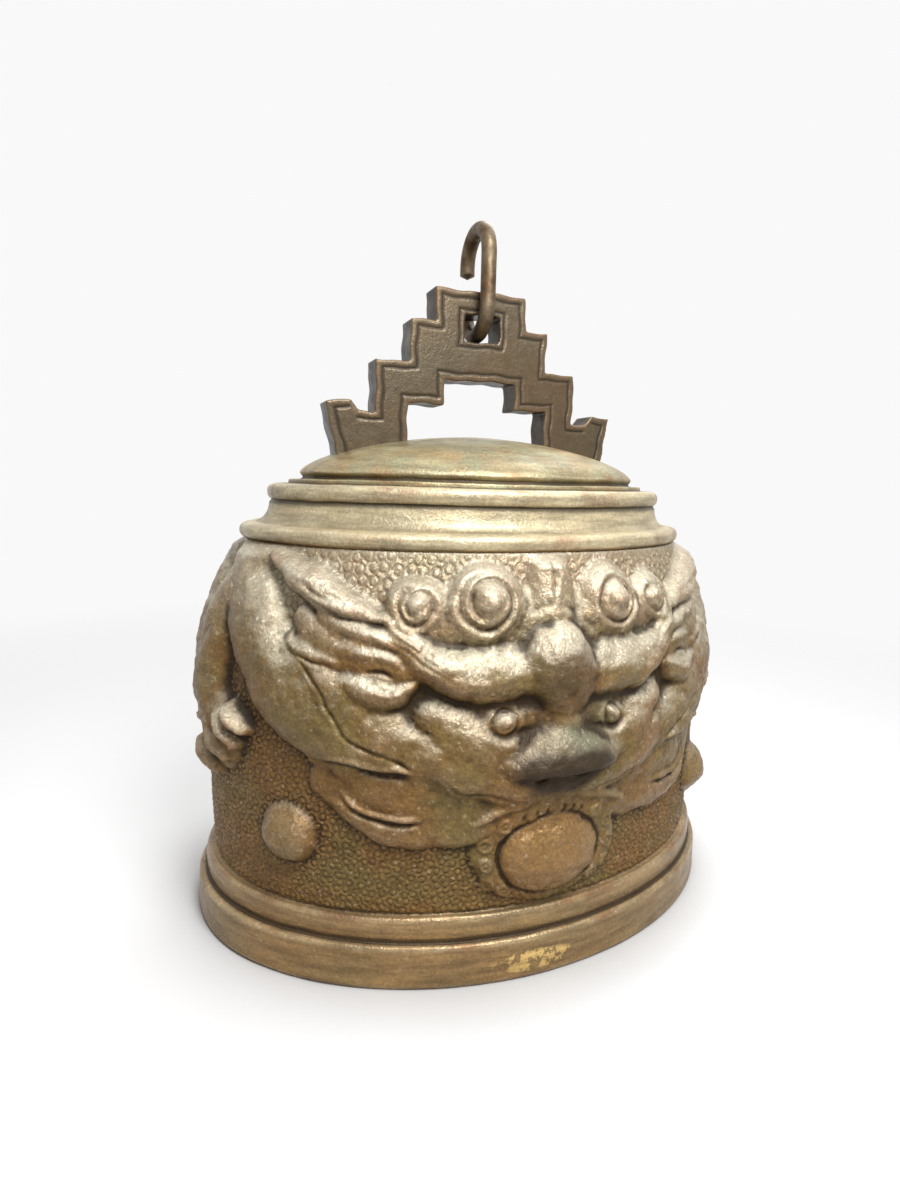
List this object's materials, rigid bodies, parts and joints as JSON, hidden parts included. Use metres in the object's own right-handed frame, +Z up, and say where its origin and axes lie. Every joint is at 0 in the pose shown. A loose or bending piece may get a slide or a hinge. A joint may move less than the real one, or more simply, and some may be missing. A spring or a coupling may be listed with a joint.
{
  "type": "bronze temple bell",
  "caption": "Oval cast bronze bell with a dragon mask relief, stepped pierced hanger, hanging hook and swinging clapper; hangs from the hook or stands on its rim.",
  "frame": {"origin": "centre of the rim's bottom plane, below the middle of the bell", "axes": "+Z up; X along the stepped hanger and the oval's long axis; the dragon mask in the picture faces -Y"},
  "size_m": [0.18, 0.1464, 0.2152],
  "materials": {
    "bell_bronze": "aged brown bronze with olive patina, worn lighter on edges",
    "relief_bronze": "aged brown bronze, rubbed on the high points",
    "pearl_bronze": "bronze polished by touch",
    "hanger_bronze": "dark aged bronze with incised border lines",
    "hook_iron": "dark browned forged rod",
    "clapper_iron": "dark forged iron"
  },
  "bodies": {
    "bell": {"bell_body": "bell_bronze", "stepped_hanger": "hanger_bronze", "clapper_staple": "clapper_iron", "dragon_front": "relief_bronze", "pearl_frill_front": "relief_bronze", "boss_front_left": "relief_bronze", "boss_front_right": "relief_bronze", "dragon_back": "relief_bronze", "pearl_frill_back": "relief_bronze", "boss_back_left": "relief_bronze", "boss_back_right": "relief_bronze", "pearl_front": "pearl_bronze", "pearl_back": "pearl_bronze"},
    "hook": {"hanging_hook": "hook_iron"},
    "clapper": {"clapper_rod": "clapper_iron", "clapper_ball": "clapper_iron"}
  },
  "joints": [
    {"name": "hook_swing", "type": "hinge", "parent": "bell", "child": "hook", "pos_m": [0, 0, 0.19], "axis": [1, 0, 0], "range_deg": [-88, 88]},
    {"name": "clapper_swing", "type": "hinge", "parent": "bell", "child": "clapper", "pos_m": [0, 0, 0.1188], "axis": [1, 0, 0], "range_deg": [-30, 30]}
  ]
}
